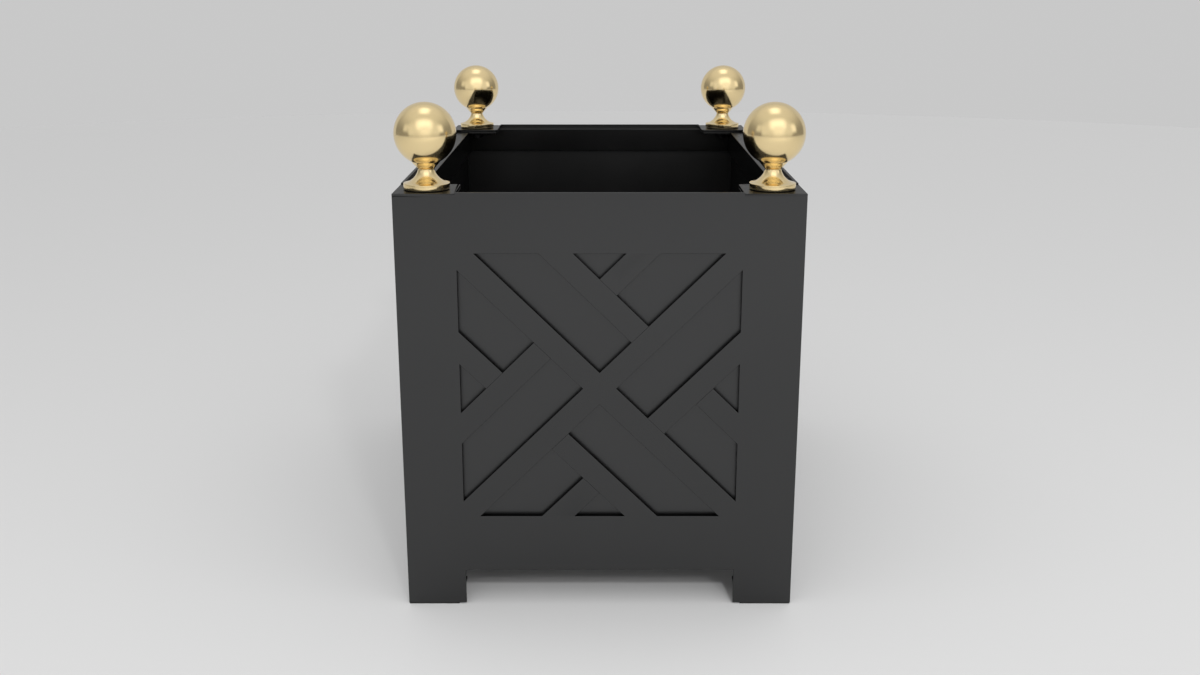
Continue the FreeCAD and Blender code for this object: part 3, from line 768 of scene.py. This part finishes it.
def screw_points(node):
    """Where each screw of a node starts and points, read from its box."""
    points = []
    for low, high in islands(node):
        middle = (low + high) / 2
        axis = max(range(3), key=lambda place: high[place] - low[place])
        inward = Vector((0, 0, 0))
        inward[axis] = -math.copysign(1, middle[axis])
        half = (high[axis] - low[axis]) / 2
        points.append((middle - inward * half, inward))
    return points


SCREW_HEAD = 0.0027         # height of a screw's head
SCREW_SIZES = {
    "Head Height": SCREW_HEAD, "Head Radius": 0.0045, "Shank Radius": 0.0025,
    "Socket Radius": 0.0017, "Socket Depth": 0.0014,
}
NUT_BORE = 0.00505


def make_fasteners():
    """The screws of the walls and ledgers, and the nuts under the rim."""
    tree = screw_tree()
    for node in ("wall_screws", "ledger_screws"):
        points = screw_points(node)
        low, high = islands(node)[0]
        sizes = {"Length": max(high - low) - SCREW_HEAD, **SCREW_SIZES}
        grow(node + "_finished", node, points, tree, sizes)
    nuts = islands("finial_nuts")
    points = [(Vector(((low.x + high.x) / 2, (low.y + high.y) / 2, low.z)), Vector((0, 0, 1)))
              for low, high in nuts]
    low, high = nuts[0]
    sizes = {"Across Corners": high.x - low.x, "Height": high.z - low.z, "Bore Radius": NUT_BORE}
    grow("finial_nuts_finished", "finial_nuts", points, nut_tree(), sizes)


# ---------------------------------------------------------------- stage, light and camera

BACKDROP = 0.58             # tone of the far page, as the camera and the brass see it
FLOOR_REACH = 7.5           # radius of the round floor
PAGE = 0.598                # the paper's own tone far from the planter
PAINTED_POOL_EDGE = (5.2, 7.4)      # the far painted pool of light ends between these distances
PAINTED_SIDE_LIGHT = 0.022           # painted light: the paper is painted this much paler to the right
# pools of light painted on the paper: how much, centre x and y, reach along x and y, fall along y
PAINTED_GLOW = (0.152, 0.0, -0.8, 2.6, 1.9, 2.0)         # painted light around the planter
PAINTED_SPILL = (0.055, 0.0, -0.85, 0.55, 0.5, 2.0)     # painted light close in front of it
PAINTED_POOL = (0.36, 1.2, -4.3, 3.0, 2.2, 5.0)         # painted light far in front, where only the gloss sees it


def make_floor():
    """A pale round floor with pools of light painted on it: brightest in front of the planter and
    deeper behind it.
    """
    shape = bmesh.new()
    bmesh.ops.create_circle(shape, cap_ends=True, segments=180, radius=FLOOR_REACH)
    mesh = bpy.data.meshes.new("studio_floor")
    shape.to_mesh(mesh)
    shape.free()
    floor = bpy.data.objects.new("studio_floor", mesh)
    bpy.context.scene.collection.objects.link(floor)
    material, tree, shader = new_material("studio paper")
    shader.inputs["Roughness"].default_value = 1.0
    shader.inputs["Specular IOR Level"].default_value = 0.0
    place = add_node(tree, "ShaderNodeTexCoord")
    split = add_node(tree, "ShaderNodeSeparateXYZ")
    distance = add_node(tree, "ShaderNodeVectorMath", operation="LENGTH")
    wire(tree, [
        (place.outputs["Object"], split.inputs["Vector"]),
        (place.outputs["Object"], distance.inputs[0]),
    ])

    def distance_share(axis, centre, reach, fall):
        offset = calculate(tree, "SUBTRACT", split.outputs[axis], centre)
        share = calculate(tree, "DIVIDE", calculate(tree, "ABSOLUTE", offset, 0.0), reach)
        return calculate(tree, "POWER", share, fall)

    def paint_light_pool(amount, centre_x, centre_y, reach_x, reach_y, fall):
        across = distance_share("X", centre_x, reach_x, 2.0)
        along = distance_share("Y", centre_y, reach_y, fall)
        fade = calculate(tree, "ADD", calculate(tree, "ADD", along, across), 1.0)
        return calculate(tree, "DIVIDE", amount, fade)

    # Painted light: pools of light are added to the paper's own tone.
    painted_glow = calculate(tree, "ADD", paint_light_pool(*PAINTED_GLOW), paint_light_pool(*PAINTED_SPILL))
    edge = add_node(tree, "ShaderNodeMapRange", interpolation_type="SMOOTHSTEP")
    edge.inputs["From Min"].default_value, edge.inputs["From Max"].default_value = PAINTED_POOL_EDGE
    edge.inputs["To Min"].default_value = 1.0
    edge.inputs["To Max"].default_value = 0.0
    tree.links.new(distance.outputs["Value"], edge.inputs["Value"])
    painted_pool_light = calculate(tree, "MULTIPLY", paint_light_pool(*PAINTED_POOL), edge.outputs["Result"])
    # Painted light: the paper is painted paler to the right.
    outward = calculate(tree, "ADD", distance.outputs["Value"], 1.0)
    aside = calculate(tree, "DIVIDE", split.outputs["X"], outward)
    painted_side_light = calculate(tree, "MULTIPLY", aside, PAINTED_SIDE_LIGHT)
    painted_light = calculate(tree, "ADD", calculate(tree, "ADD", painted_glow, painted_pool_light), painted_side_light)
    total = calculate(tree, "ADD", painted_light, PAGE)
    colour = add_node(tree, "ShaderNodeCombineColor")
    wire(tree, [
        (total, colour.inputs["Red"]),
        (total, colour.inputs["Green"]),
        (total, colour.inputs["Blue"]),
        (colour.outputs["Color"], shader.inputs["Base Color"]),
    ])
    mesh.materials.append(material)


def towards(azimuth, elevation):
    """A direction from the planter; azimuth 0 is its front and turns towards +X."""
    turn, rise = math.radians(azimuth), math.radians(elevation)
    return Vector((
        math.sin(turn) * math.cos(rise), -math.cos(turn) * math.cos(rise), math.sin(rise)))


def make_soft_box():
    """A rectangle of light in the sky with soft edges: 1 inside, 0 outside."""
    group, given, result = new_group(
        "soft box",
        [("Direction", "NodeSocketVector", None), ("Centre", "NodeSocketVector", None),
         ("Across", "NodeSocketVector", None), ("Upward", "NodeSocketVector", None),
         ("Half Width", "NodeSocketFloat", 0.3), ("Half Height", "NodeSocketFloat", 0.3),
         ("Softness", "NodeSocketFloat", 0.1)],
        [("Mask", "NodeSocketFloat", None)],
    )
    parts = {}
    for axis in ("Centre", "Across", "Upward"):
        dot = add_node(group, "ShaderNodeVectorMath", operation="DOT_PRODUCT")
        wire(group, [(given.outputs["Direction"], dot.inputs[0]),
                     (given.outputs[axis], dot.inputs[1])])
        parts[axis] = dot.outputs["Value"]
    depth = calculate(group, "MAXIMUM", parts["Centre"], 0.001)
    masks = [calculate(group, "GREATER_THAN", parts["Centre"], 0.001)]
    for axis, half in (("Across", "Half Width"), ("Upward", "Half Height")):
        place = calculate(
            group, "DIVIDE", calculate(group, "ABSOLUTE", parts[axis], 0.0), depth)
        edge = add_node(group, "ShaderNodeMapRange", interpolation_type="SMOOTHSTEP")
        edge.inputs["To Min"].default_value = 1.0
        edge.inputs["To Max"].default_value = 0.0
        soft = given.outputs["Softness"]
        wire(group, [
            (place, edge.inputs["Value"]),
            (calculate(group, "SUBTRACT", given.outputs[half], soft), edge.inputs["From Min"]),
            (calculate(group, "ADD", given.outputs[half], soft), edge.inputs["From Max"]),
        ])
        masks.append(edge.outputs["Result"])
    both = calculate(group, "MULTIPLY", masks[1], masks[2])
    wire(group, [(calculate(group, "MULTIPLY", both, masks[0]), result.inputs["Mask"])])
    return group


# azimuth, elevation, half width, half height, softness, brightness
SOFT_BOXES = {
    "front wall": (4, 24, 1.75, 0.62, 0.42, 0.80),
    "key window": (6, 39, 0.50, 0.32, 0.24, 1.45),
    "low window": (9, 16, 0.36, 0.28, 0.22, 1.08),
    "ceiling panel": (180, 83, 0.20, 0.24, 0.16, 1.6),
    "right window": (71, 17, 0.16, 0.20, 0.10, 1.08),
    "left window": (-70, 18, 0.17, 0.18, 0.10, 0.76),
    "backdrop": (180, 0, 1.48, 1.0, 0.12, BACKDROP),
}
ROOM_LOW = 0.28             # brightness of the room near the floor
ROOM_HIGH = 0.74            # and overhead
ROOM_RISE = (5, 72)         # it grows between these elevations, in degrees


def make_world():
    """A soft-lit studio room; the camera itself sees only the even backdrop."""
    soft_box = make_soft_box()
    world = bpy.data.worlds.new("studio")
    bpy.context.scene.world = world
    world.use_nodes = True
    tree = world.node_tree
    tree.nodes.clear()
    place = add_node(tree, "ShaderNodeTexCoord")
    split = add_node(tree, "ShaderNodeSeparateXYZ")
    rise = add_node(tree, "ShaderNodeMapRange", interpolation_type="SMOOTHSTEP")
    rise.inputs["From Min"].default_value = math.sin(math.radians(ROOM_RISE[0]))
    rise.inputs["From Max"].default_value = math.sin(math.radians(ROOM_RISE[1]))
    rise.inputs["To Min"].default_value = ROOM_LOW
    rise.inputs["To Max"].default_value = ROOM_HIGH
    wire(tree, [
        (place.outputs["Generated"], split.inputs["Vector"]),
        (split.outputs["Z"], rise.inputs["Value"]),
    ])
    light = rise.outputs["Result"]
    for azimuth, elevation, half_width, half_height, softness, brightness in SOFT_BOXES.values():
        centre = towards(azimuth, elevation)
        across = towards(azimuth + 90, 0)
        box = use_group(
            tree, soft_box, Centre=centre, Across=across, Upward=centre.cross(across),
            Half_Width=half_width, Half_Height=half_height, Softness=softness)
        tree.links.new(place.outputs["Generated"], box.inputs["Direction"])
        mix = add_node(tree, "ShaderNodeMix", data_type="FLOAT")
        mix.inputs["B"].default_value = brightness
        wire(tree, [(box.outputs["Mask"], mix.inputs["Factor"]), (light, mix.inputs["A"])])
        light = mix.outputs["Result"]
    path = add_node(tree, "ShaderNodeLightPath")
    seen = add_node(tree, "ShaderNodeMix", data_type="FLOAT")
    seen.inputs["B"].default_value = BACKDROP
    shader = add_node(tree, "ShaderNodeBackground")
    out = add_node(tree, "ShaderNodeOutputWorld")
    wire(tree, [
        (path.outputs["Is Camera Ray"], seen.inputs["Factor"]),
        (light, seen.inputs["A"]),
        (seen.outputs["Result"], shader.inputs["Color"]),
        (shader.outputs["Background"], out.inputs["Surface"]),
    ])


def make_sun(name, azimuth, elevation, strength, width):
    """A distant lamp of this angular width."""
    light = bpy.data.lights.new(name, "SUN")
    light.energy = strength
    light.angle = math.radians(width)
    lamp = bpy.data.objects.new(name, light)
    bpy.context.scene.collection.objects.link(lamp)
    lamp.rotation_euler = towards(azimuth, elevation).to_track_quat("Z", "Y").to_euler()
    lamp.visible_glossy = False     # the key window is what shows in gloss


def make_lights():
    make_sun("key", azimuth=8, elevation=38, strength=0.62, width=2.5)
    make_sun("side fill", azimuth=18, elevation=31, strength=0.32, width=4.5)


CAMERA_PLACE = (0.0, -2.321, 0.9645)
CAMERA_DIP = 15.636         # degrees below level
LENS = 38.475


def make_camera():
    camera = bpy.data.cameras.new("camera")
    camera.sensor_width = 36.0
    camera.lens = LENS
    camera.shift_x = 0.0003
    holder = bpy.data.objects.new("camera", camera)
    bpy.context.scene.collection.objects.link(holder)
    holder.location = CAMERA_PLACE
    holder.rotation_euler = (math.radians(90 - CAMERA_DIP), 0, 0)
    bpy.context.scene.camera = holder


dress_hidden_nodes()
for side in SIDES:
    make_side(side)
for corner in CORNERS:
    make_corner(corner)
    make_pedestal(corner)
    make_ball(corner)
make_gaskets()
make_hidden_plates()
make_fasteners()
make_floor()
make_world()
make_lights()
make_camera()
bpy.context.scene.view_settings.view_transform = "Standard"
